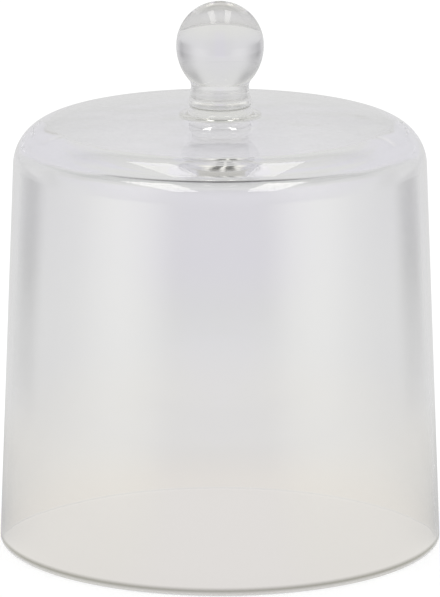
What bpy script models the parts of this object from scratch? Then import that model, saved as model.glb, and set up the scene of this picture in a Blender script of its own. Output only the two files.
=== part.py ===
# Serving cloche: a blown glass bell, open below, with a solid glass ball knob on its crown.
#
# Every piece is turned about the Z axis. The bell stands on its rim at z = 0. On top of its
# crown come, one on the other, a coved foot, a collar and the knob. On the real object these
# are gathers of hot glass laid one after the other, so each is a piece of its own here, with
# a small joint gap between neighbours.
#
# Units are metres, +Z is up, and the origin is the centre of the circle the rim stands on.

import math

import bmesh
import bpy

# Bell, outer side
RIM_RADIUS = 0.1000            # widest place of the bell, at the rim
SHOULDER_START_RADIUS = 0.09285   # where the leaning wall ends and the shoulder begins
SHOULDER_START_HEIGHT = 0.1733
SHOULDER_ROUND = 0.0193        # radius of the shoulder's arc
CROWN_RISE = 0.0034            # apex of the domed crown above the top of the shoulder's arc

# Bell, thickness of the glass
WALL = 0.0030                  # at the rim
SHOULDER_WALL = 0.0040         # where the wall meets the shoulder, as the glass thickens upwards
CROWN_WALL = 0.0092            # the gather is left thick where the knob is laid on
INNER_SHOULDER_ROUND = 0.0105
RIM_ROUND = 0.0010             # fire-polished edge on each side of the flat seat

# Foot of the knob, a button with a coved edge
FOOT_RADIUS = 0.0185
FOOT_HEIGHT = 0.0039
FOOT_EDGE = 0.0005             # thickness left at the foot's thin outer edge

# Collar between the foot and the knob
COLLAR_RADIUS = 0.0144         # at its lower edge
COLLAR_TOP_RADIUS = 0.0141
COLLAR_HEIGHT = 0.0038
COLLAR_ROUND = 0.0009          # the flats inside it meet the neck above and the foot below

# Knob: a ball, a little taller than wide, drawn in to a neck
BALL_RADIUS = 0.0196
BALL_RISE = 0.0198             # from the ball's widest place to its top
BALL_DROP = 0.0220             # how far the ball's lower side would reach if it closed below
BALL_HEIGHT = 0.0229           # widest place above the knob's flat lower end
NECK_RADIUS = 0.0130           # narrowest place
NECK_FILLET = 0.0048           # hollow arc between the ball and the neck

JOINT_GAP = 0.0003             # between each piece and the one that it sits on

BELL_STEPS = 64                # facets round the bell
KNOB_STEPS = 48                # facets round each small piece
CROWN_SEGMENTS = 8             # straight pieces in the section of each curve
SHOULDER_SEGMENTS = 10
EDGE_SEGMENTS = 4
COVE_SEGMENTS = 6
UNDERSIDE_SEGMENTS = 3
BALL_TOP_SEGMENTS = 9
BALL_BOTTOM_SEGMENTS = 7
FILLET_SEGMENTS = 6
NECK_SEGMENTS = 4
HALVINGS = 40                  # steps of the search for the point where ball and fillet touch
SHARP_ANGLE = math.radians(40)
MERGE = 0.00001


def arc(centre, radius, start, end, segments):
    """Points of a circle in the profile plane, from one angle to another, ends included."""
    points = []
    for step in range(segments + 1):
        angle = start + (end - start) * step / segments
        points.append((centre[0] + radius * math.cos(angle), centre[1] + radius * math.sin(angle)))
    return points


class WallLine:
    """One side of the leaning wall in section: a straight line and the way it faces."""

    def __init__(self, radius, height, lean):
        self.radius = radius
        self.height = height
        self.lean = lean

    def radius_at(self, offset, height):
        """Distance from the axis of a point at this height, offset square to the line."""
        rise = height - self.height
        return self.radius + (offset - rise * math.sin(self.lean)) / math.cos(self.lean)


class BellProfile:
    """The bell's section: two walls that lean in, two shoulder arcs and two crown arcs."""

    def __init__(self):
        # The outer wall is the straight line that touches the rim's round edge
        # and ends at the start of the shoulder.
        self.rim_centre = (RIM_RADIUS - RIM_ROUND, RIM_ROUND)
        across = self.rim_centre[0] - SHOULDER_START_RADIUS
        down = self.rim_centre[1] - SHOULDER_START_HEIGHT
        lean = math.atan2(down, across) + math.acos(-RIM_ROUND / math.hypot(across, down))
        self.outer = WallLine(SHOULDER_START_RADIUS, SHOULDER_START_HEIGHT, lean)

        outer_height = SHOULDER_START_HEIGHT - SHOULDER_ROUND * math.sin(lean)
        self.outer_shoulder = (self.outer.radius_at(-SHOULDER_ROUND, outer_height), outer_height)
        self.apex = outer_height + SHOULDER_ROUND + CROWN_RISE
        self.crown_radius = self.crown_arc(self.outer_shoulder, SHOULDER_ROUND)

        # The inner wall runs through the points where the thickness is given.
        foot_radius = self.outer.radius_at(-WALL, RIM_ROUND)
        top_radius = self.outer.radius_at(-SHOULDER_WALL, SHOULDER_START_HEIGHT)
        inner_lean = math.atan2(foot_radius - top_radius, SHOULDER_START_HEIGHT - RIM_ROUND)
        self.inner = WallLine(foot_radius, RIM_ROUND, inner_lean)

        inner_height = outer_height + SHOULDER_ROUND - CROWN_WALL - INNER_SHOULDER_ROUND
        self.inner_shoulder = (self.inner.radius_at(-INNER_SHOULDER_ROUND, inner_height), inner_height)
        self.inner_apex = self.apex - CROWN_WALL
        self.inner_crown_radius = self.crown_arc(self.inner_shoulder, INNER_SHOULDER_ROUND)
        self.inner_rim_centre = (self.inner.radius_at(RIM_ROUND, RIM_ROUND), RIM_ROUND)

    @staticmethod
    def crown_arc(shoulder_centre, shoulder_round):
        """Radius of the arc that meets the axis squarely and runs smoothly into the shoulder."""
        depth = shoulder_round + CROWN_RISE
        return (shoulder_centre[0] ** 2 + depth ** 2 - shoulder_round ** 2) / (2 * CROWN_RISE)

    @staticmethod
    def meeting_angle(apex, crown_radius, shoulder_centre):
        """Angle at which a crown arc hands over to its shoulder arc."""
        return math.atan2(shoulder_centre[1] - (apex - crown_radius), shoulder_centre[0])

    def crown_height(self, radius, above=0.0):
        """Height of the crown's outer face, or of a face a little above it, at this radius."""
        reach = self.crown_radius + above
        return self.apex - self.crown_radius + math.sqrt(reach ** 2 - radius ** 2)

    def points(self):
        quarter = math.pi / 2
        outer_lean = self.outer.lean
        inner_lean = self.inner.lean
        outer_meet = self.meeting_angle(self.apex, self.crown_radius, self.outer_shoulder)
        inner_meet = self.meeting_angle(self.inner_apex, self.inner_crown_radius, self.inner_shoulder)
        crown_centre = (0.0, self.apex - self.crown_radius)
        inner_crown_centre = (0.0, self.inner_apex - self.inner_crown_radius)
        sections = [
            arc(crown_centre, self.crown_radius, quarter, outer_meet, CROWN_SEGMENTS),
            arc(self.outer_shoulder, SHOULDER_ROUND, outer_meet, outer_lean, SHOULDER_SEGMENTS)[1:],
            arc(self.rim_centre, RIM_ROUND, outer_lean, -quarter, EDGE_SEGMENTS),
            arc(self.inner_rim_centre, RIM_ROUND, -quarter, inner_lean - math.pi, EDGE_SEGMENTS),
            arc(self.inner_shoulder, INNER_SHOULDER_ROUND, inner_lean, inner_meet, SHOULDER_SEGMENTS),
            arc(inner_crown_centre, self.inner_crown_radius, inner_meet, quarter, CROWN_SEGMENTS)[1:],
        ]
        return [point for section in sections for point in section]


def foot_points(bell):
    """Section of the foot, measured from the crown's apex.

    Its flat top is as wide as the collar's flat underside, its side is coved, and its
    underside follows the crown.
    """
    edge_height = bell.crown_height(FOOT_RADIUS, JOINT_GAP) - bell.apex
    top = JOINT_GAP + FOOT_HEIGHT
    top_radius = COLLAR_RADIUS - COLLAR_ROUND
    cove_width = FOOT_RADIUS - top_radius
    cove_height = top - edge_height - FOOT_EDGE
    points = [(0.0, top)]
    for step in range(COVE_SEGMENTS + 1):
        angle = math.pi / 2 * step / COVE_SEGMENTS
        points.append((FOOT_RADIUS - cove_width * math.cos(angle), top - cove_height * math.sin(angle)))
    for step in range(UNDERSIDE_SEGMENTS + 1):
        radius = FOOT_RADIUS * (1 - step / UNDERSIDE_SEGMENTS)
        points.append((radius, bell.crown_height(radius, JOINT_GAP) - bell.apex))
    return points


def collar_points():
    """Section of the collar, measured from its flat underside."""
    quarter = math.pi / 2
    top_centre = (COLLAR_TOP_RADIUS - COLLAR_ROUND, COLLAR_HEIGHT - COLLAR_ROUND)
    bottom_centre = (COLLAR_RADIUS - COLLAR_ROUND, COLLAR_ROUND)
    return [
        (0.0, COLLAR_HEIGHT),
        *arc(top_centre, COLLAR_ROUND, quarter, 0.0, EDGE_SEGMENTS),
        *arc(bottom_centre, COLLAR_ROUND, 0.0, -quarter, EDGE_SEGMENTS),
        (0.0, 0.0),
    ]


def ball_point(angle):
    """A point on the ball's lower side and the direction that points out of the ball there."""
    point = (BALL_RADIUS * math.cos(angle), BALL_HEIGHT - BALL_DROP * math.sin(angle))
    out = (math.cos(angle) / BALL_RADIUS, -math.sin(angle) / BALL_DROP)
    length = math.hypot(*out)
    return point, (out[0] / length, out[1] / length)


def fillet_centre(angle):
    """Centre of the hollow arc, if it touched the ball's lower side at this angle."""
    point, out = ball_point(angle)
    return (point[0] + NECK_FILLET * out[0], point[1] + NECK_FILLET * out[1])


def fillet_angle():
    """Where the hollow arc leaves the ball, found by halving, so that it just touches the neck."""
    low, high = 0.0, math.pi / 2
    for _ in range(HALVINGS):
        middle = (low + high) / 2
        if fillet_centre(middle)[0] > NECK_RADIUS + NECK_FILLET:
            low = middle
        else:
            high = middle
    return low


def knob_points():
    """Section of the knob, measured from its lower end, which covers the collar's flat top."""
    end_radius = COLLAR_TOP_RADIUS - COLLAR_ROUND
    touch = fillet_angle()
    centre = fillet_centre(touch)
    out = ball_point(touch)[1]
    points = [(0.0, BALL_HEIGHT + BALL_RISE)]
    for step in range(1, BALL_TOP_SEGMENTS):
        angle = math.pi / 2 * (1 - step / BALL_TOP_SEGMENTS)
        points.append((BALL_RADIUS * math.cos(angle), BALL_HEIGHT + BALL_RISE * math.sin(angle)))
    for step in range(BALL_BOTTOM_SEGMENTS + 1):
        points.append(ball_point(touch * step / BALL_BOTTOM_SEGMENTS)[0])
    fillet_start = math.atan2(-out[1], -out[0])
    points += arc(centre, NECK_FILLET, fillet_start, math.pi, FILLET_SEGMENTS)[1:]
    for step in range(1, NECK_SEGMENTS + 1):
        part = step / NECK_SEGMENTS
        radius = NECK_RADIUS + (end_radius - NECK_RADIUS) * part ** 2
        points.append((radius, centre[1] * (1 - part)))
    points.append((0.0, 0.0))
    return points


def glass(name, colour, roughness):
    material = bpy.data.materials.new(name)
    material.use_nodes = True
    shader = material.node_tree.nodes["Principled BSDF"]
    shader.inputs["Base Color"].default_value = (*colour, 1.0)
    shader.inputs["Metallic"].default_value = 0.0
    shader.inputs["Roughness"].default_value = roughness
    shader.inputs["IOR"].default_value = 1.5
    shader.inputs["Transmission Weight"].default_value = 1.0
    return material


def turn(name, points, steps, collection):
    """One closed solid from a section that runs from the axis, down the outside, to the axis."""
    section = bmesh.new()
    corners = [section.verts.new((radius, 0.0, height)) for radius, height in points]
    for first, second in zip(corners, corners[1:]):
        section.edges.new((first, second))
    outline = bpy.data.meshes.new(name + "_section")
    section.to_mesh(outline)
    section.free()

    turned = bpy.data.objects.new(name + "_section", outline)
    collection.objects.link(turned)
    screw = turned.modifiers.new("turn", "SCREW")
    screw.axis = "Z"
    screw.angle = 2 * math.pi
    screw.steps = steps
    screw.render_steps = steps
    screw.use_merge_vertices = True
    screw.merge_threshold = MERGE

    bpy.context.view_layer.update()
    evaluated = turned.evaluated_get(bpy.context.evaluated_depsgraph_get())
    mesh = bpy.data.meshes.new_from_object(evaluated)
    bpy.data.objects.remove(turned)
    bpy.data.meshes.remove(outline)

    mesh.name = name
    mesh.shade_smooth()
    mesh.set_sharp_from_angle(angle=SHARP_ANGLE)
    piece = bpy.data.objects.new(name, mesh)
    collection.objects.link(piece)
    return piece


def place(piece, height, parent, material):
    piece.location = (0.0, 0.0, height)
    piece.parent = parent
    piece.data.materials.append(material)


def main():
    for old in list(bpy.data.objects):
        bpy.data.objects.remove(old)

    collection = bpy.data.collections.new("serving_cloche")
    bpy.context.scene.collection.children.link(collection)
    stand = bpy.data.objects.new("serving_cloche", None)
    collection.objects.link(stand)

    bell = BellProfile()
    collar_height = bell.apex + JOINT_GAP + FOOT_HEIGHT + JOINT_GAP
    knob_height = collar_height + COLLAR_HEIGHT + JOINT_GAP

    glass_bell = turn("glass_bell", bell.points(), BELL_STEPS, collection)
    place(glass_bell, 0.0, stand, glass("bell_glass", (0.90, 0.90, 0.91), 0.02))

    knob_foot = turn("knob_foot", foot_points(bell), KNOB_STEPS, collection)
    place(knob_foot, bell.apex, stand, glass("foot_glass", (0.89, 0.89, 0.89), 0.02))

    knob_collar = turn("knob_collar", collar_points(), KNOB_STEPS, collection)
    place(knob_collar, collar_height, stand, glass("collar_glass", (0.88, 0.88, 0.87), 0.02))

    knob = turn("knob", knob_points(), KNOB_STEPS, collection)
    place(knob, knob_height, stand, glass("knob_glass", (0.89, 0.89, 0.90), 0.01))

    knob_top = knob_height + BALL_HEIGHT + BALL_RISE
    print(f"crown {bell.apex * 1000:.2f} mm high, knob top {knob_top * 1000:.2f} mm")


main()
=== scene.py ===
# %% [markdown]
# # A glass serving cloche
#
# A cloche is a bell of clear glass that stands over food on its open rim and is lifted by a
# knob. This one is blown and finished hot from four gathers of glass: the bell, a coved foot
# on its crown, a collar, and a solid ball with a drawn-in neck.
#
# The lesson builds each gather as its own closed mesh, turned from a drawn section, and
# spends most of its care on what makes clear glass readable: an even pale surround, dark
# places for the edges to pick up, and two lamps overhead.

# %% Load the frame
import math

import bmesh
import bpy
from mathutils import Euler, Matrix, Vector


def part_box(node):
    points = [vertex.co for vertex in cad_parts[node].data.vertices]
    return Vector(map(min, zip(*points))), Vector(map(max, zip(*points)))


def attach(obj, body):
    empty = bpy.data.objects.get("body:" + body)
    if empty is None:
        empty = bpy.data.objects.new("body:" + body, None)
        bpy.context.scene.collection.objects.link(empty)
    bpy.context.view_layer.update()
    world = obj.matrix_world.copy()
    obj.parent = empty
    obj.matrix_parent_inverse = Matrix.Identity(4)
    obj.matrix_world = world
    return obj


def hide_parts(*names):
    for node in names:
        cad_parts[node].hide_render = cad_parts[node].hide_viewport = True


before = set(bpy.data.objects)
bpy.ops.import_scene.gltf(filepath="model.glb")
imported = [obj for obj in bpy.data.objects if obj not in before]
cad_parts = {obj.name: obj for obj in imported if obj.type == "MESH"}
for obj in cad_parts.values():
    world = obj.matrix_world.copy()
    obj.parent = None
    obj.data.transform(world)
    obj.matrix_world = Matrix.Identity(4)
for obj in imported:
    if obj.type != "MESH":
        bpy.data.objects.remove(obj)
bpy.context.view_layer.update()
print("the packed pieces:", sorted(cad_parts))

# %% [markdown]
# ## The camera
#
# The photograph looks down on the bell by about 14 degrees, from far enough away that the
# upright sides hardly lean together. A long lens at two and a half metres gives the same
# ellipses at the rim and at the collar. The distance and the height of the point that the
# camera looks at are real sizes, so the whole camera follows from a few numbers.

# %% Camera
CAMERA_DISTANCE = 2.5
CAMERA_ELEVATION = math.radians(13.62)
LOOK_AT_HEIGHT = 0.1103
LENS_MM = 333.9
SENSOR_MM = 36.0


def add_camera():
    lens = bpy.data.cameras.new("camera")
    lens.lens = LENS_MM
    lens.sensor_width = SENSOR_MM
    camera = bpy.data.objects.new("camera", lens)
    bpy.context.scene.collection.objects.link(camera)
    back = CAMERA_DISTANCE * math.cos(CAMERA_ELEVATION)
    up = CAMERA_DISTANCE * math.sin(CAMERA_ELEVATION)
    camera.location = (0.0, -back, LOOK_AT_HEIGHT + up)
    camera.rotation_euler = (math.pi / 2 - CAMERA_ELEVATION, 0.0, 0.0)
    bpy.context.scene.camera = camera
    return camera


camera = add_camera()
print("camera at", [round(value, 3) for value in camera.location])

# %% [markdown]
# ## How light is counted
#
# Light that enters thick glass at the shoulder is thrown from face to face many times before
# it leaves. A renderer gives up after a few of these turns and leaves black, so the limits
# are raised. The Standard view transform shows a white of strength 1 as plain white.

# %% Render settings that the glass needs
GLASS_BOUNCES = 72


def set_light_paths():
    scene = bpy.context.scene
    scene.view_settings.view_transform = "Standard"
    cycles = scene.cycles
    cycles.max_bounces = GLASS_BOUNCES
    cycles.glossy_bounces = GLASS_BOUNCES
    cycles.transmission_bounces = GLASS_BOUNCES
    cycles.transparent_max_bounces = GLASS_BOUNCES


set_light_paths()

# %% [markdown]
# ## Shader sums in plain Python
#
# A node tree is easier to read as a sum than as a drawing. The small class below wraps one
# output socket, so that `1 - mask * 0.5` adds the Math nodes by itself. Every other node comes
# from one method: its type, the settings that have to be in place first, and its sockets.

# %% Helpers for node trees
MIX_SHARE = 0                  # the sockets that a Mix node uses for colours
MIX_FIRST = 6
MIX_SECOND = 7
MIX_RESULT = 2


class Wire:
    """One output socket that can stand in an ordinary sum."""

    def __init__(self, tree, socket):
        self.tree = tree
        self.socket = socket

    def __add__(self, other):
        return self.tree.math("ADD", self, other)

    def __sub__(self, other):
        return self.tree.math("SUBTRACT", self, other)

    def __rsub__(self, other):
        return self.tree.math("SUBTRACT", other, self)

    def __mul__(self, other):
        return self.tree.math("MULTIPLY", self, other)

    __radd__ = __add__
    __rmul__ = __mul__


class Tree:
    """The node tree of a material, a lamp or the world, emptied and ready to be filled."""

    def __init__(self, owner):
        owner.use_nodes = True
        self.nodes = owner.node_tree.nodes
        self.links = owner.node_tree.links
        self.nodes.clear()

    def node(self, kind, settings, sockets):
        made = self.nodes.new(kind)
        for name, value in settings.items():
            setattr(made, name, value)
        for name, value in sockets.items():
            if isinstance(value, Wire):
                self.links.new(value.socket, made.inputs[name])
            else:
                made.inputs[name].default_value = value
        return made

    def wire(self, made, name):
        return Wire(self, made.outputs[name])

    def math(self, operation, first, second=0.0):
        made = self.node("ShaderNodeMath", {"operation": operation}, {0: first, 1: second})
        return self.wire(made, "Value")

    def mix(self, share, first, second, blend="MIX"):
        """A colour between two colours, or their product where the blend says so."""
        settings = {"data_type": "RGBA", "blend_type": blend}
        sockets = {MIX_SHARE: share, MIX_FIRST: first, MIX_SECOND: second}
        return self.wire(self.node("ShaderNodeMix", settings, sockets), MIX_RESULT)

    def ramp(self, value, span, first, second):
        """A number that runs from first to second as value runs over a span."""
        low, high = span
        sockets = {"Value": value, "From Min": low, "From Max": high, "To Min": first, "To Max": second}
        made = self.node("ShaderNodeMapRange", {"interpolation_type": "SMOOTHSTEP"}, sockets)
        return self.wire(made, "Result")

    def rise(self, value, span, top=1.0):
        return self.ramp(value, span, 0.0, top)

    def fall(self, value, span, top=1.0):
        return self.ramp(value, span, top, 0.0)

    def hill(self, value, marks):
        """A number that rises from 0 to 1 and falls back to 0, given its start, top and end."""
        start, top, end = marks
        return self.rise(value, (start, top)) * self.fall(value, (top, end))


def rgb(red, green, blue):
    return (red, green, blue, 1.0)


WHITE = rgb(1.0, 1.0, 1.0)

# %% [markdown]
# ## What glass shows of a studio
#
# Clear glass has no look of its own. It shows what is behind it, straight through, and it
# mirrors what is around it. So the floor and the room are each described for three kinds of
# light: what the camera sees past the bell, what it sees straight through the glass, and what
# the glass mirrors on the way. The glossy depth of a ray says how often it was mirrored.
#
# Light that is trapped in the thick shoulder is mirrored many times and comes out mixed, so
# it takes an even grey, which leans to lavender at the sides. Light that was mirrored some 5
# to 10 times is the exception. It has mostly come through the middle of the shoulder, where
# the thick glass works as a lens and draws the studio together into bright and dark streaks.
#
# Places in the studio are given by their azimuth in degrees, counted from straight behind the
# bell to either side, so both sides are alike.

# %% Helpers for the studio
ONCE = 0.5                     # whatever happened at all happened more often than this
HALF_TURN = 180
TRAPPED_TURNS = 6.5            # mirrored more often than this, light counts as trapped
TRAPPED_BEHIND = rgb(0.760, 0.760, 0.745)
TRAPPED_BESIDE = rgb(0.756, 0.750, 0.788)
TRAPPED_AZIMUTHS = (10, 28)    # the first grey gives way to the second over these
LENS_GREY = 0.56
LENS_DARK = 0.16
LENS_BRIGHT = 1.15
LENS_CAST = rgb(1.0, 0.985, 0.94)
MIDDLE_STREAK_END = (1.5, 4.5)
SIDE_STREAK = (20, 32, 54)
DARK_STREAK_START = (2.5, 5.5)
DARK_STREAK_END = (17, 25)


def of_path(tree, name):
    return tree.wire(tree.node("ShaderNodeLightPath", {}, {}), name)


def turned_more_than(tree, turns):
    return tree.math("GREATER_THAN", of_path(tree, "Glossy Depth"), turns)


def turned_between(tree, limits):
    least, most = limits
    return turned_more_than(tree, least) - turned_more_than(tree, most)


def seen_in_glass(tree, through, mirror, azimuth):
    """The colour of one place, for each kind of light that has met the glass."""
    either = tree.mix(turned_more_than(tree, ONCE), through, mirror)
    trapped = tree.mix(tree.rise(azimuth, TRAPPED_AZIMUTHS), TRAPPED_BEHIND, TRAPPED_BESIDE)
    return tree.mix(turned_more_than(tree, TRAPPED_TURNS), either, trapped)


def azimuth_of(tree, parts):
    across = tree.math("ABSOLUTE", tree.wire(parts, "X"))
    return tree.math("ARCTAN2", across, tree.wire(parts, "Y")) * math.degrees(1)


def cast(tree, colour, grey):
    """A grey value that is given a cast of colour."""
    return tree.mix(1.0, colour, grey, "MULTIPLY")


def glow(tree, colour, strength):
    return tree.wire(tree.node("ShaderNodeEmission", {}, {"Color": colour, "Strength": strength}), 0)


def lens_streaks(tree, azimuth, share):
    """Bright and dark upright streaks that the thick middle of the shoulder draws together."""
    aside = tree.math("MINIMUM", azimuth, HALF_TURN - azimuth)
    bright = tree.fall(aside, MIDDLE_STREAK_END) + tree.hill(aside, SIDE_STREAK)
    dark = tree.rise(aside, DARK_STREAK_START) * tree.fall(aside, DARK_STREAK_END)
    change = bright * (LENS_BRIGHT - LENS_GREY) - dark * (LENS_GREY - LENS_DARK)
    return cast(tree, LENS_CAST, change * share + LENS_GREY)


# %% [markdown]
# ## The white floor
#
# The camera sees a pale sweep that goes to pure white. Part of it glows by itself, which keeps
# it white, and part of it is lit by the lamps, which keeps the shadow of the bell on it.
# Through the glass the sweep is a little deeper, and inside the bell it is warmer and carries
# painted shade for the bell's shadow.
#
# What the wall mirrors is mostly floor, because the camera looks down on it. A painted pool of
# light on the floor at each side, towards the camera, gives the soft bright band down the wall.
# Painted shade on the floor at each side, away from the camera, gives the dark streak near each
# edge. The table ends in front, and past its edge the floor is dark, which keeps the middle of
# the wall clear.
#
# Distances are in metres from the bell's axis.

# %% Floor
FLOOR_SIZE = 12.0
FLOOR_DROP = 0.0002            # the rim stands this far above the floor, so the faces don't mix
FLOOR_PAINT = rgb(0.95, 0.95, 0.95)
FLOOR_GLOW = 1.25
FLOOR_GLOW_SHARE = 0.6

SWEEP_GREY = 0.81              # the sweep as it is seen through the glass
# painted shadow: inside the bell the sweep seen through the glass is darker, for the bell's shadow
BELL_SHADOW_GREY = 0.751            # and inside the bell
INSIDE_EDGE = (0.094, 0.104)
INSIDE_CAST = rgb(1.012, 0.991, 0.968)
INSIDE_CAST_EDGE = (0.10, 0.22)
CENTRE_CAST = rgb(0.992, 0.981, 1.018)
CENTRE_AZIMUTHS = (2.5, 7.0)
CENTRE_DISTANCES = (0.46, 0.62)
FAR_SIDE_SHADE = 0.21          # the far floor at each side, as the ball's edges show it
FAR_SIDE_AZIMUTHS = (20, 46, 88)
FAR_SIDE_DISTANCES = (0.7, 1.4)

BACK_GREY = 0.74               # the table as the glass mirrors it
FRONT_GREY = 1.05
FRONT_AZIMUTHS = (80, 110)
NEAR_SHADE = 0.17              # the bell's own shade on the table close round it
NEAR_DISTANCES = (0.16, 0.32)
# a painted pool of light on the table at each side, towards the camera, seen only in the glass's mirror image
PAINTED_LIGHT_POOL = 0.55
PAINTED_LIGHT_POOL_CAST = rgb(1.0, 0.995, 0.95)
PAINTED_LIGHT_POOL_AZIMUTHS = (95, 127, 155)
PAINTED_LIGHT_POOL_DISTANCES = (0.25, 0.80)
# painted shade on the table at each side, away from the camera, seen only in the glass's mirror image
PAINTED_SHADE_PATCH = 0.62
PAINTED_SHADE_PATCH_AZIMUTHS = (37, 60, 76)
PAINTED_SHADE_PATCH_DISTANCES = (0.48, 0.78)
TABLE_FRONT = 0.74             # how much darker it is past the table's front edge
TABLE_FRONT_AZIMUTHS = (140, 160)
TABLE_FRONT_DISTANCES = (0.65, 0.90)
TABLE_FRONT_CAST = rgb(0.97, 0.94, 1.06)
TABLE_FRONT_CAST_AZIMUTHS = (138, 162)

FLOOR_LENS_TURNS = (7.5, 10.5)  # between these turns the shoulder's middle shows the floor behind
FLOOR_LENS_START = (0.11, 0.14)
FLOOR_LENS_END = (0.60, 0.75)
FLOOR_LENS_AZIMUTHS = (46, 54)


def sweep_through_glass(tree, distance, azimuth):
    centre = tree.fall(azimuth, CENTRE_AZIMUTHS) * tree.rise(distance, CENTRE_DISTANCES)
    outside_cast = tree.mix(centre, WHITE, CENTRE_CAST)
    sweep_cast = tree.mix(tree.rise(distance, INSIDE_CAST_EDGE), INSIDE_CAST, outside_cast)
    far_side = tree.hill(azimuth, FAR_SIDE_AZIMUTHS) * tree.rise(distance, FAR_SIDE_DISTANCES, FAR_SIDE_SHADE)
    grey = tree.ramp(distance, INSIDE_EDGE, BELL_SHADOW_GREY, SWEEP_GREY) - far_side
    return cast(tree, sweep_cast, grey)


def table_in_mirror(tree, distance, azimuth):
    table = tree.ramp(azimuth, FRONT_AZIMUTHS, BACK_GREY, FRONT_GREY)
    shade = tree.fall(distance, NEAR_DISTANCES, NEAR_SHADE)
    painted_light_pool = tree.hill(azimuth, PAINTED_LIGHT_POOL_AZIMUTHS)
    painted_light_pool *= tree.rise(distance, PAINTED_LIGHT_POOL_DISTANCES, PAINTED_LIGHT_POOL)
    painted_shade_patch = tree.hill(azimuth, PAINTED_SHADE_PATCH_AZIMUTHS)
    painted_shade_patch *= tree.rise(distance, PAINTED_SHADE_PATCH_DISTANCES, PAINTED_SHADE_PATCH)
    past_table = tree.rise(azimuth, TABLE_FRONT_AZIMUTHS)
    past_table *= tree.rise(distance, TABLE_FRONT_DISTANCES, TABLE_FRONT)
    side_cast = tree.mix(tree.rise(azimuth, FRONT_AZIMUTHS), WHITE, PAINTED_LIGHT_POOL_CAST)
    table_cast = tree.mix(tree.rise(azimuth, TABLE_FRONT_CAST_AZIMUTHS), side_cast, TABLE_FRONT_CAST)
    return cast(tree, table_cast, table - shade + painted_light_pool - painted_shade_patch - past_table)


def floor_in_glass(tree):
    place = tree.wire(tree.node("ShaderNodeNewGeometry", {}, {}), "Position")
    length = tree.node("ShaderNodeVectorMath", {"operation": "LENGTH"}, {0: place})
    distance = tree.wire(length, "Value")
    azimuth = azimuth_of(tree, tree.node("ShaderNodeSeparateXYZ", {}, {0: place}))
    through = sweep_through_glass(tree, distance, azimuth)
    mirror = table_in_mirror(tree, distance, azimuth)
    in_glass = seen_in_glass(tree, through, mirror, azimuth)
    near = tree.rise(distance, FLOOR_LENS_START) * tree.fall(distance, FLOOR_LENS_END)
    behind = tree.fall(azimuth, FLOOR_LENS_AZIMUTHS)
    in_lens = near * turned_between(tree, FLOOR_LENS_TURNS) * behind
    return tree.mix(in_lens, in_glass, lens_streaks(tree, azimuth, 1.0))


def add_floor():
    bpy.ops.mesh.primitive_plane_add(size=FLOOR_SIZE, location=(0.0, 0.0, -FLOOR_DROP))
    floor = bpy.context.object
    floor.name = "floor"
    material = bpy.data.materials.new("white_sweep")
    tree = Tree(material)
    lit = tree.wire(tree.node("ShaderNodeBsdfDiffuse", {}, {"Color": FLOOR_PAINT}), 0)
    shares = {0: FLOOR_GLOW_SHARE, 1: lit, 2: glow(tree, WHITE, FLOOR_GLOW)}
    sweep = tree.node("ShaderNodeMixShader", {}, shares)
    in_glass = glow(tree, floor_in_glass(tree), 1.0)
    sockets = {0: of_path(tree, "Is Camera Ray"), 1: in_glass, 2: tree.wire(sweep, 0)}
    both = tree.node("ShaderNodeMixShader", {}, sockets)
    tree.node("ShaderNodeOutputMaterial", {}, {"Surface": tree.wire(both, 0)})
    floor.data.materials.append(material)


add_floor()

# %% [markdown]
# ## The room around it
#
# The camera sees white wherever it sees past the floor. Straight through, the glass shows a
# grey backdrop that is darker at each side. What it mirrors is a pale backdrop up to some 38
# degrees above the horizon and, behind the bell, a dark ceiling above that, which ends high
# up. The dark ceiling is what draws the fine dark line round the shoulder, where the thick
# glass turns the view upwards. Behind the camera the room is dim, most of all near the horizon.
#
# Elevations are in degrees above the horizon.

# %% World
BACKDROP_GREY = 0.79           # the backdrop as it is seen through the glass
SIDE_SHADE = 0.26
SIDE_AZIMUTHS = (16, 34)
SIDE_ELEVATIONS = (4, 24, 55)
LOW_SIDE_ELEVATIONS = (0, 20)

ROOM_BACK = 0.74               # the room as the glass mirrors it
ROOM_SIDE = 0.92
ROOM_AZIMUTHS = (60, 100)
CEILING_AZIMUTHS = (35, 75)    # the dark ceiling lies behind the bell and ends here
DARK_CEILING = 0.42
CEILING_START = (33, 43)
CEILING_END = (58, 72)
CEILING_SLOT = 0.26            # how much darker a slot in the ceiling is
SLOT_ELEVATIONS = (39, 45, 55)
CROWN_SHADE = 0.06             # a low part of the backdrop that the crown mirrors
CROWN_ELEVATIONS = (6, 12, 17)
DIM_FRONT = 0.22
DIM_FRONT_LOW = 0.30
DIM_AZIMUTHS = (130, 155)
DIM_ELEVATIONS = (10, 28)
DIM_TURNS = 2.5                # mirrored more often than this, light doesn't show the dim part

ROOM_LENS_TURNS = (4.5, 8.5)   # between these turns the shoulder's middle shows the ceiling
ROOM_LENS_START = (8, 14)
ROOM_LENS_END = (60, 66)
ROOM_STREAKS_START = (45, 50)  # the lens shows an even grey below these elevations


def backdrop_through_glass(tree, azimuth, elevation):
    beside = tree.rise(azimuth, SIDE_AZIMUTHS) * tree.hill(elevation, SIDE_ELEVATIONS)
    low_side = tree.hill(azimuth, FAR_SIDE_AZIMUTHS) * tree.fall(elevation, LOW_SIDE_ELEVATIONS)
    return BACKDROP_GREY - (beside + low_side) * SIDE_SHADE


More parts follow.
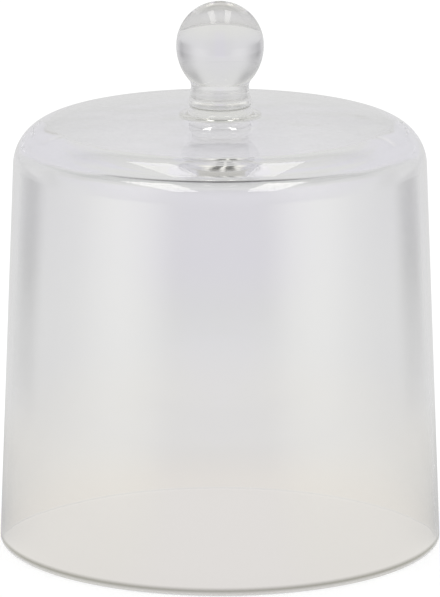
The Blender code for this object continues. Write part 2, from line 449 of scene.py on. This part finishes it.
def room_in_mirror(tree, azimuth, elevation):
    room = tree.ramp(azimuth, ROOM_AZIMUTHS, ROOM_BACK, ROOM_SIDE)
    ceiling = tree.rise(elevation, CEILING_START) * tree.fall(elevation, CEILING_END, DARK_CEILING)
    slot = tree.hill(elevation, SLOT_ELEVATIONS) * CEILING_SLOT
    low = tree.hill(elevation, CROWN_ELEVATIONS) * CROWN_SHADE
    dark = (ceiling + slot + low) * tree.fall(azimuth, CEILING_AZIMUTHS)
    dim = tree.rise(azimuth, DIM_AZIMUTHS) * (tree.fall(elevation, DIM_ELEVATIONS, DIM_FRONT_LOW) + DIM_FRONT)
    return room - dark - dim * (1 - turned_more_than(tree, DIM_TURNS))


def room_in_glass(tree):
    direction = tree.wire(tree.node("ShaderNodeTexCoord", {}, {}), "Generated")
    parts = tree.node("ShaderNodeSeparateXYZ", {}, {0: direction})
    azimuth = azimuth_of(tree, parts)
    elevation = tree.math("ARCSINE", tree.wire(parts, "Z")) * math.degrees(1)
    through = backdrop_through_glass(tree, azimuth, elevation)
    mirror = room_in_mirror(tree, azimuth, elevation)
    in_glass = seen_in_glass(tree, through, mirror, azimuth)
    above = tree.rise(elevation, ROOM_LENS_START) * tree.fall(elevation, ROOM_LENS_END)
    in_lens = above * turned_between(tree, ROOM_LENS_TURNS)
    high = tree.rise(elevation, ROOM_STREAKS_START)
    return tree.mix(in_lens, in_glass, lens_streaks(tree, azimuth, high))


def add_world():
    world = bpy.data.worlds.new("studio")
    bpy.context.scene.world = world
    tree = Tree(world)
    colour = tree.mix(of_path(tree, "Is Camera Ray"), room_in_glass(tree), WHITE)
    light = tree.node("ShaderNodeBackground", {}, {"Color": colour, "Strength": 1.0})
    tree.node("ShaderNodeOutputWorld", {}, {"Surface": tree.wire(light, 0)})


add_world()

# %% [markdown]
# ## Two softboxes overhead
#
# The pair of pale leaves on each side of the shoulder, and the two bars high in the ball, are
# mirror images of two long lamps that hang side by side over the bell. Their places were
# worked out from where these images lie on the glass. Light that is mirrored more than twice
# doesn't show them, because it would add bright spots that the photograph doesn't have.

# %% Lamps
LAMP_HEIGHT = 1.69
LAMP_NEAR_SIDE = 0.26          # from the bell's axis to the lamp's inner edge
LAMP_FAR_SIDE = 0.57
LAMP_FRONT = -0.52
LAMP_BACK = 0.74
LAMP_YAW = math.radians(2.5)   # the pair is not quite square to the camera
LAMP_BRIGHTNESS = 4.5
LAMP_MIRRORED = 0.55           # its share in the mirror image on an outer face
LAMP_COLOUR = (1.0, 0.985, 0.94)
LAMP_TURNS = 2.5               # mirrored more often than this, light doesn't show the lamps


def lamp_glow(data):
    tree = Tree(data)
    entered = tree.math("MINIMUM", of_path(tree, "Transmission Depth"), 1.0)
    strength = (LAMP_MIRRORED + entered * (1 - LAMP_MIRRORED)) * (1 - turned_more_than(tree, LAMP_TURNS))
    tree.node("ShaderNodeOutputLight", {}, {"Surface": glow(tree, WHITE, strength)})


def add_lamps():
    width = LAMP_FAR_SIDE - LAMP_NEAR_SIDE
    length = LAMP_BACK - LAMP_FRONT
    for name, side in (("softbox_left", -1), ("softbox_right", 1)):
        data = bpy.data.lights.new(name, "AREA")
        data.shape = "RECTANGLE"
        data.color = LAMP_COLOUR
        data.size = width
        data.size_y = length
        data.energy = LAMP_BRIGHTNESS * math.pi * width * length
        lamp_glow(data)
        lamp = bpy.data.objects.new(name, data)
        bpy.context.scene.collection.objects.link(lamp)
        across = side * (LAMP_NEAR_SIDE + LAMP_FAR_SIDE) / 2
        place = Vector((across, (LAMP_FRONT + LAMP_BACK) / 2, LAMP_HEIGHT))
        place.rotate(Euler((0.0, 0.0, LAMP_YAW)))
        lamp.location = place
        lamp.rotation_euler.z = LAMP_YAW
        lamp.visible_camera = False


add_lamps()

# %% [markdown]
# ## Glass
#
# Clear glass is a Principled shader with full transmission and hardly any roughness. Its
# colour works at each face, so a light tint is enough: a wall is crossed twice at every pass.
# The bell's tint leans to lavender at the shoulder and to straw near the rim, and painted shade
# darkens the rim's edges to draw the rim's dark line. A blown wall is never quite even, so a faint
# bump with long upright waves bends the light a little.
#
# A few rays would never find their way out of the thick shoulder. After very many turns the
# glass scatters them, so that they leave with the studio's light and not as black specks.

# %% Glass materials
GLASS_IOR = 1.5
CLEAR_TINT = rgb(0.940, 0.940, 0.942)
LAVENDER_TINT = rgb(0.935, 0.933, 0.945)
LAVENDER_HEIGHTS = (0.120, 0.155, 0.182)
STRAW_TINT = rgb(0.963, 0.953, 0.933)
STRAW_HEIGHTS = (0.045, 0.075)  # straw below the first height and clear above the second
# painted shade: a dark line along the rim's outer edge, and a lighter one along its inner edge
RIM_EDGE_PAINTED_SHADE = rgb(0.26, 0.26, 0.22)
INNER_RIM_PAINTED_SHADE = rgb(0.70, 0.70, 0.68)
RIM_EDGE_HEIGHTS = (0.0008, 0.0024, 0.0044)
RIM_EDGE_WIDTH = 0.0015
WAVE_DENSITY = 26.0            # waves in a metre round the wall
WAVE_STRETCH = (1.0, 1.0, 0.12)  # upright waves are longer than they are wide
WAVE_DETAIL = 1.0
WAVE_ROUGHNESS = 0.4
WAVE_DEPTH = 0.0004
LATE_BOUNCES = 58              # light that is still inside after these is scattered
LATE_ROUGHNESS = 0.7
FLAT = (1.0, 1.0, 0.0)         # a place times this is the same place without its height


def object_place(tree):
    return tree.wire(tree.node("ShaderNodeTexCoord", {}, {}), "Object")


def height_of(tree, place):
    return tree.wire(tree.node("ShaderNodeSeparateXYZ", {}, {0: place}), "Z")


def times(tree, place, factors):
    return tree.wire(tree.node("ShaderNodeVectorMath", {"operation": "MULTIPLY"}, {0: place, 1: factors}), 0)


def blown_waves(tree, place, density, depth):
    """The normal of a face that was blown and never pressed: long shallow upright waves."""
    sockets = {
        "Vector": times(tree, place, WAVE_STRETCH),
        "Scale": density,
        "Detail": WAVE_DETAIL,
        "Roughness": WAVE_ROUGHNESS,
    }
    waves = tree.wire(tree.node("ShaderNodeTexNoise", {}, sockets), 0)
    bump = tree.node("ShaderNodeBump", {}, {"Strength": 1.0, "Distance": depth, "Height": waves})
    return tree.wire(bump, 0)


def glass_shader(tree, base_colour, roughness, normal):
    late = tree.math("GREATER_THAN", of_path(tree, "Ray Depth"), LATE_BOUNCES)
    shader = tree.node("ShaderNodeBsdfPrincipled", {}, {
        "Base Color": base_colour,
        "Roughness": late * LATE_ROUGHNESS + roughness,
        "IOR": GLASS_IOR,
        "Transmission Weight": 1.0,
        "Normal": normal,
    })
    tree.node("ShaderNodeOutputMaterial", {}, {"Surface": tree.wire(shader, 0)})


def rim_shade_masks(tree, place, height):
    """Masks for painted shade on the rim's outer edge, where a view enters it, and on its inner edge, where a
    view leaves it.
    """
    length = tree.node("ShaderNodeVectorMath", {"operation": "LENGTH"}, {0: times(tree, place, FLAT)})
    outside = tree.math("GREATER_THAN", tree.wire(length, "Value"), rim_radius - RIM_EDGE_WIDTH)
    leaving = tree.wire(tree.node("ShaderNodeNewGeometry", {}, {}), "Backfacing")
    outer = tree.hill(height, RIM_EDGE_HEIGHTS) * outside * (1 - leaving)
    inner = tree.fall(height, RIM_EDGE_HEIGHTS[:2]) * (1 - outside) * leaving
    return outer, inner


def bell_glass():
    material = bpy.data.materials.new("bell_glass")
    tree = Tree(material)
    place = object_place(tree)
    height = height_of(tree, place)
    base_colour = tree.mix(tree.rise(height, STRAW_HEIGHTS), STRAW_TINT, CLEAR_TINT)
    base_colour = tree.mix(tree.hill(height, LAVENDER_HEIGHTS), base_colour, LAVENDER_TINT)
    # painted shade along the rim's edges, mixed into the glass's colour
    outer, inner = rim_shade_masks(tree, place, height)
    base_colour = tree.mix(inner, tree.mix(outer, base_colour, RIM_EDGE_PAINTED_SHADE), INNER_RIM_PAINTED_SHADE)
    glass_shader(tree, base_colour, 0.0, blown_waves(tree, place, WAVE_DENSITY, WAVE_DEPTH))
    return material


def fused_joint():
    """The place where two gathers have run together: there is no face to see."""
    material = bpy.data.materials.new("fused_joint")
    tree = Tree(material)
    shader = tree.node("ShaderNodeBsdfPrincipled", {}, {"Alpha": 0.0})
    tree.node("ShaderNodeOutputMaterial", {}, {"Surface": tree.wire(shader, 0)})
    return material


FUSED = fused_joint()

# %% [markdown]
# ## Sections
#
# Every piece is turned about the upright axis, so its shape is one line in section. The bell's
# line is made of straight walls and arcs that run smoothly into each other. Radii and
# thicknesses are real sizes, and the places where the pieces meet are read from the frame.

# %% Sizes of the bell
SHOULDER_START_RADIUS = 0.09285
SHOULDER_START_HEIGHT = 0.1733
SHOULDER_ROUND = 0.0193
CROWN_RISE = 0.0034
WALL = 0.0030
SHOULDER_WALL = 0.0040
CROWN_WALL = 0.0092
INNER_SHOULDER_ROUND = 0.0105
RIM_ROUND = 0.0010
FOOT_RADIUS = 0.0185
TURN_STEPS = 256
ROUND_SEGMENTS = 48            # straight pieces in the section of a large curve
EDGE_SEGMENTS = 12             # and of a small one
SHARP_ANGLE = math.radians(40)
QUARTER = math.pi / 2

rim_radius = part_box("glass_bell")[1].x
bell_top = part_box("glass_bell")[1].z


def arc(centre, radius, start, end, segments):
    """Points of a circle in the section, from one angle to another, ends included."""
    points = []
    for step in range(segments + 1):
        angle = start + (end - start) * step / segments
        points.append((centre[0] + radius * math.cos(angle), centre[1] + radius * math.sin(angle)))
    return points


def wall_line(radius, height, lean):
    """The distance from the axis, at a height, of a line that leans through a given point."""
    def radius_at(offset, at_height):
        rise = at_height - height
        return radius + (offset - rise * math.sin(lean)) / math.cos(lean)
    return radius_at


def crown_curve(shoulder_centre, shoulder_round):
    """Centre, radius and end angle of the arc that domes the crown."""
    depth = shoulder_round + CROWN_RISE
    radius = (shoulder_centre[0] ** 2 + depth ** 2 - shoulder_round ** 2) / (2 * CROWN_RISE)
    centre = (0.0, shoulder_centre[1] + depth - radius)
    meet = math.atan2(shoulder_centre[1] - centre[1], shoulder_centre[0])
    return centre, radius, meet


def bell_curves():
    rim_centre = (rim_radius - RIM_ROUND, RIM_ROUND)
    across = rim_centre[0] - SHOULDER_START_RADIUS
    down = rim_centre[1] - SHOULDER_START_HEIGHT
    lean = math.atan2(down, across) + math.acos(-RIM_ROUND / math.hypot(across, down))
    outer = wall_line(SHOULDER_START_RADIUS, SHOULDER_START_HEIGHT, lean)
    shoulder_height = SHOULDER_START_HEIGHT - SHOULDER_ROUND * math.sin(lean)
    shoulder = (outer(-SHOULDER_ROUND, shoulder_height), shoulder_height)

    foot = outer(-WALL, RIM_ROUND)
    top = outer(-SHOULDER_WALL, SHOULDER_START_HEIGHT)
    inner_lean = math.atan2(foot - top, SHOULDER_START_HEIGHT - RIM_ROUND)
    inner = wall_line(foot, RIM_ROUND, inner_lean)
    inner_height = shoulder_height + SHOULDER_ROUND - CROWN_WALL - INNER_SHOULDER_ROUND
    inner_shoulder = (inner(-INNER_SHOULDER_ROUND, inner_height), inner_height)
    inner_rim = (inner(RIM_ROUND, RIM_ROUND), RIM_ROUND)
    return {
        "rim": rim_centre, "lean": lean, "shoulder": shoulder,
        "inner_rim": inner_rim, "inner_lean": inner_lean, "inner_shoulder": inner_shoulder,
    }


BELL = bell_curves()
CROWN_CENTRE, CROWN_RADIUS, CROWN_MEET = crown_curve(BELL["shoulder"], SHOULDER_ROUND)
CROWN_START = math.acos(FOOT_RADIUS / CROWN_RADIUS)  # the angle at which the foot ends on the crown


def crown_height(radius):
    return CROWN_CENTRE[1] + math.sqrt(CROWN_RADIUS ** 2 - radius ** 2)


print("crown at", round(crown_height(0.0), 5), "m, the frame says", round(bell_top, 5), "m")

# %% [markdown]
# ## Turning a section
#
# The Screw modifier turns an edge line into a closed skin. The faces where one gather has run
# into the next take the second material slot, which shows nothing, so that light passes from
# piece to piece as through one block of glass, while each piece stays a closed mesh.

# %% Turning
MERGE = 0.00001
FLAT_TOLERANCE = 0.00002
JOINT_SLOT = 1                 # the second material slot of a piece


def turn(name, points, material, is_joint):
    section = bmesh.new()
    corners = [section.verts.new((radius, 0.0, height)) for radius, height in points]
    for first, second in zip(corners, corners[1:]):
        section.edges.new((first, second))
    outline = bpy.data.meshes.new(name + "_section")
    section.to_mesh(outline)
    section.free()
    turned = bpy.data.objects.new(name + "_section", outline)
    bpy.context.scene.collection.objects.link(turned)
    screw = turned.modifiers.new("turn", "SCREW")
    screw.axis = "Z"
    screw.angle = 2 * math.pi
    screw.steps = TURN_STEPS
    screw.render_steps = TURN_STEPS
    screw.use_merge_vertices = True
    screw.merge_threshold = MERGE
    bpy.context.view_layer.update()
    evaluated = turned.evaluated_get(bpy.context.evaluated_depsgraph_get())
    mesh = bpy.data.meshes.new_from_object(evaluated)
    bpy.data.objects.remove(turned)
    mesh.name = name
    mesh.shade_smooth()
    mesh.set_sharp_from_angle(angle=SHARP_ANGLE)
    mesh.materials.clear()
    mesh.materials.append(material)
    mesh.materials.append(FUSED)
    for face in mesh.polygons:
        radius = math.hypot(face.center.x, face.center.y)
        if is_joint(radius, face.center.z, face.normal.z):
            face.material_index = JOINT_SLOT
    piece = bpy.data.objects.new(name, mesh)
    bpy.context.scene.collection.objects.link(piece)
    return piece


def dress(piece, node):
    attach(piece, "root")
    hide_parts(node)
    print(piece.name, "has", len(piece.data.polygons), "faces")


# %% [markdown]
# ## The bell
#
# The outer line runs from the axis down to the rim, and the inner line back up. The crown's
# faces under the foot are a joint.

# %% Bell
def bell_section():
    inner_centre, inner_radius, inner_meet = crown_curve(BELL["inner_shoulder"], INNER_SHOULDER_ROUND)
    lean = BELL["lean"]
    inner_lean = BELL["inner_lean"]
    sections = [
        arc(CROWN_CENTRE, CROWN_RADIUS, QUARTER, CROWN_START, EDGE_SEGMENTS),
        arc(CROWN_CENTRE, CROWN_RADIUS, CROWN_START, CROWN_MEET, ROUND_SEGMENTS)[1:],
        arc(BELL["shoulder"], SHOULDER_ROUND, CROWN_MEET, lean, ROUND_SEGMENTS)[1:],
        arc(BELL["rim"], RIM_ROUND, lean, -QUARTER, EDGE_SEGMENTS),
        arc(BELL["inner_rim"], RIM_ROUND, -QUARTER, inner_lean - math.pi, EDGE_SEGMENTS),
        arc(BELL["inner_shoulder"], INNER_SHOULDER_ROUND, inner_lean, inner_meet, ROUND_SEGMENTS),
        arc(inner_centre, inner_radius, inner_meet, QUARTER, ROUND_SEGMENTS)[1:],
    ]
    return [point for section in sections for point in section]


def bell_joint(radius, height, upward):
    under_foot = radius < FOOT_RADIUS
    on_outside = height > crown_height(FOOT_RADIUS) - FLAT_TOLERANCE
    return under_foot and on_outside and upward > 0


bell = turn("bell", bell_section(), bell_glass(), bell_joint)
dress(bell, "glass_bell")

# %% [markdown]
# ## The foot, the collar and the knob
#
# These three are the gathers that the maker laid on the crown one after the other. Each is
# drawn up to the middle of the joint that the frame leaves between neighbours, so they touch.

# %% Sizes of the small pieces
FOOT_EDGE = 0.0005
COLLAR_RADIUS = 0.0144
COLLAR_TOP_RADIUS = 0.0141
COLLAR_ROUND = 0.0009
BALL_RADIUS = 0.0196
BALL_RISE = 0.0198
BALL_DROP = 0.0220
NECK_RADIUS = 0.0130
NECK_FILLET = 0.0048
HALVINGS = 40

foot_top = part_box("knob_foot")[1].z
collar_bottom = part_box("knob_collar")[0].z
collar_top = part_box("knob_collar")[1].z
knob_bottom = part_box("knob")[0].z
knob_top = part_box("knob")[1].z
ball_height = knob_top - BALL_RISE
foot_joint = (foot_top + collar_bottom) / 2
neck_joint = (collar_top + knob_bottom) / 2
foot_joint_radius = COLLAR_RADIUS - COLLAR_ROUND
neck_joint_radius = COLLAR_TOP_RADIUS - COLLAR_ROUND

# %% [markdown]
# The solid pieces are thicker than the wall, so they are a little deeper in colour. The ball is
# olive at its top and lavender across its middle, and the tooled neck is clear. Painted shade
# in the crease where the collar meets the foot gives the darkest line of the knob.

# %% Glass of the small pieces
KNOB_CLEAR = rgb(0.870, 0.870, 0.868)
KNOB_OLIVE = rgb(0.970, 0.972, 0.892)
OLIVE_START = 0.2              # shares of the ball's rise
OLIVE_FULL = 0.6
KNOB_LAVENDER = rgb(0.865, 0.858, 0.888)
LAVENDER_BELOW = 0.6           # a share of the ball's drop
LAVENDER_ABOVE = 0.4           # and of its rise
NECK_TINT = rgb(0.945, 0.945, 0.940)
NECK_TINT_HEIGHT = 0.0055      # the neck's own tint is full up to this height above the collar
NECK_SOFT_HEIGHT = 0.0110      # and the neck is tooled up to this one
NECK_ROUGHNESS = 0.22
COLLAR_TINT = rgb(0.850, 0.850, 0.840)
COLLAR_TOP_TINT = rgb(0.945, 0.945, 0.940)
COLLAR_TOP_START = 0.0022      # the collar is clear at its top and deeper from here down
COLLAR_TOP_END = 0.0009
COLLAR_ROUGHNESS = 0.14        # tooled while soft, so not quite as bright as a blown face
FOOT_TINT = rgb(0.905, 0.905, 0.870)
# painted shade: the foot's outer edge, where it sits on the crown, is darkened
FOOT_EDGE_PAINTED_SHADE = rgb(0.74, 0.74, 0.69)
FOOT_EDGE_SHADE = 0.0012       # the foot's outer edge is deeper up to this height above the crown
FOOT_EDGE_SOFT = 0.0006        # and its shade fades over this much below that
FOOT_ROUGHNESS = 0.02
# painted shade in the crease where the collar meets the foot
CREASE_PAINTED_SHADE = rgb(0.40, 0.40, 0.36)
CREASE_HEIGHT = 0.0009
SOLID_WAVE_DENSITY = 60.0
SOLID_WAVE_DEPTH = 0.0001


def knob_glass():
    material = bpy.data.materials.new("knob_glass")
    tree = Tree(material)
    place = object_place(tree)
    height = height_of(tree, place)
    olive_heights = (ball_height + OLIVE_START * BALL_RISE, ball_height + OLIVE_FULL * BALL_RISE)
    lavender_end = ball_height + LAVENDER_ABOVE * BALL_RISE
    lavender_heights = (ball_height - LAVENDER_BELOW * BALL_DROP, ball_height, lavender_end)
    soft_end = knob_bottom + NECK_SOFT_HEIGHT
    neck = tree.fall(height, (knob_bottom + NECK_TINT_HEIGHT, soft_end))
    base_colour = tree.mix(tree.rise(height, olive_heights), KNOB_CLEAR, KNOB_OLIVE)
    base_colour = tree.mix(tree.hill(height, lavender_heights), base_colour, KNOB_LAVENDER)
    base_colour = tree.mix(neck, base_colour, NECK_TINT)
    roughness = tree.fall(height, (knob_bottom, soft_end), NECK_ROUGHNESS)
    glass_shader(tree, base_colour, roughness, blown_waves(tree, place, SOLID_WAVE_DENSITY, SOLID_WAVE_DEPTH))
    return material


def tooled_glass(name, low_colour, base_colour, heights, roughness):
    """Glass whose colour changes from one colour below to another above over a span of heights, with painted
    shade in the crease under the collar.
    """
    material = bpy.data.materials.new(name)
    tree = Tree(material)
    place = object_place(tree)
    height = height_of(tree, place)
    both = tree.mix(tree.rise(height, heights), low_colour, base_colour)
    crease = tree.hill(height, (foot_joint - CREASE_HEIGHT, foot_joint, foot_joint + CREASE_HEIGHT))
    both = tree.mix(crease, both, CREASE_PAINTED_SHADE)
    glass_shader(tree, both, roughness, blown_waves(tree, place, SOLID_WAVE_DENSITY, SOLID_WAVE_DEPTH))
    return material


# %% [markdown]
# ## The foot
#
# The foot is the button of glass that was laid on the crown to carry the knob. A cylinder
# with a bevelled edge would come close, but the real side is hollow, so it is drawn as a
# quarter of a hollow oval that runs from the collar out to a thin edge. The underside follows
# the dome of the crown.

# %% Foot
FACING_DOWN = -0.5             # a face whose normal points up by less than this faces down


def foot_section():
    cove_width = FOOT_RADIUS - foot_joint_radius
    cove_height = foot_top - crown_height(FOOT_RADIUS) - FOOT_EDGE
    points = [(0.0, foot_joint), (foot_joint_radius, foot_joint)]
    for step in range(ROUND_SEGMENTS + 1):
        angle = QUARTER * step / ROUND_SEGMENTS
        radius = FOOT_RADIUS - cove_width * math.cos(angle)
        points.append((radius, foot_top - cove_height * math.sin(angle)))
    return points + arc(CROWN_CENTRE, CROWN_RADIUS, CROWN_START, QUARTER, EDGE_SEGMENTS)


def foot_is_joint(radius, height, upward):
    on_top = height > foot_joint - FLAT_TOLERANCE
    underneath = upward < FACING_DOWN and height < crown_height(radius) + FLAT_TOLERANCE
    return on_top or underneath


# painted shade at the foot's outer edge, from the crown up to FOOT_EDGE_SHADE
shade_end = crown_height(FOOT_RADIUS) + FOOT_EDGE_SHADE
shade_heights = (shade_end - FOOT_EDGE_SOFT, shade_end)
foot_glass = tooled_glass("foot_glass", FOOT_EDGE_PAINTED_SHADE, FOOT_TINT, shade_heights, FOOT_ROUGHNESS)
foot = turn("foot", foot_section(), foot_glass, foot_is_joint)
dress(foot, "knob_foot")

# %% [markdown]
# ## The collar
#
# The collar is the small gather between the foot and the ball. A torus would be too round at
# its side, so it is a short solid disc with a small round along each edge.

# %% Collar
def collar_section():
    upper = (neck_joint_radius, collar_top - COLLAR_ROUND)
    lower = (foot_joint_radius, collar_bottom + COLLAR_ROUND)
    return [
        (0.0, neck_joint),
        (neck_joint_radius, neck_joint),
        *arc(upper, COLLAR_ROUND, QUARTER, 0.0, EDGE_SEGMENTS),
        *arc(lower, COLLAR_ROUND, 0.0, -QUARTER, EDGE_SEGMENTS),
        (foot_joint_radius, foot_joint),
        (0.0, foot_joint),
    ]


def collar_is_joint(radius, height, upward):
    return height > neck_joint - FLAT_TOLERANCE or height < foot_joint + FLAT_TOLERANCE


clear_heights = (collar_top - COLLAR_TOP_START, collar_top - COLLAR_TOP_END)
collar_glass = tooled_glass("collar_glass", COLLAR_TINT, COLLAR_TOP_TINT, clear_heights, COLLAR_ROUGHNESS)
collar = turn("collar", collar_section(), collar_glass, collar_is_joint)
dress(collar, "knob_collar")

# %% [markdown]
# ## The knob
#
# The ball is what the hand holds. A scaled sphere would be alike above and below, and this
# ball is a little longer below its middle, so it is drawn in two parts. A hollow arc leads
# from the ball into the neck. It has to touch both, and the place where it leaves the ball is
# found by halving an angle again and again.

# %% Knob
def ball_point(angle):
    """A point on the ball's lower side and the direction that points out of the ball there."""
    point = (BALL_RADIUS * math.cos(angle), ball_height - BALL_DROP * math.sin(angle))
    out = (math.cos(angle) / BALL_RADIUS, -math.sin(angle) / BALL_DROP)
    length = math.hypot(*out)
    return point, (out[0] / length, out[1] / length)


def fillet_centre(angle):
    point, out = ball_point(angle)
    return (point[0] + NECK_FILLET * out[0], point[1] + NECK_FILLET * out[1])


def fillet_angle():
    """Where the hollow arc leaves the ball, found by halving, so that it just touches the neck."""
    low, high = 0.0, QUARTER
    for _ in range(HALVINGS):
        middle = (low + high) / 2
        if fillet_centre(middle)[0] > NECK_RADIUS + NECK_FILLET:
            low = middle
        else:
            high = middle
    return low


def knob_section():
    touch = fillet_angle()
    centre = fillet_centre(touch)
    out = ball_point(touch)[1]
    points = [(0.0, knob_top)]
    for step in range(1, ROUND_SEGMENTS):
        angle = QUARTER * (1 - step / ROUND_SEGMENTS)
        points.append((BALL_RADIUS * math.cos(angle), ball_height + BALL_RISE * math.sin(angle)))
    for step in range(ROUND_SEGMENTS + 1):
        points.append(ball_point(touch * step / ROUND_SEGMENTS)[0])
    start = math.atan2(-out[1], -out[0])
    points += arc(centre, NECK_FILLET, start, math.pi, ROUND_SEGMENTS)[1:]
    for step in range(1, EDGE_SEGMENTS + 1):
        part = step / EDGE_SEGMENTS
        radius = NECK_RADIUS + (neck_joint_radius - NECK_RADIUS) * part ** 2
        points.append((radius, centre[1] + (knob_bottom - centre[1]) * part))
    points += [(neck_joint_radius, neck_joint), (0.0, neck_joint)]
    return points


def knob_is_joint(radius, height, upward):
    return height < neck_joint + FLAT_TOLERANCE


knob = turn("ball_knob", knob_section(), knob_glass(), knob_is_joint)
dress(knob, "knob")
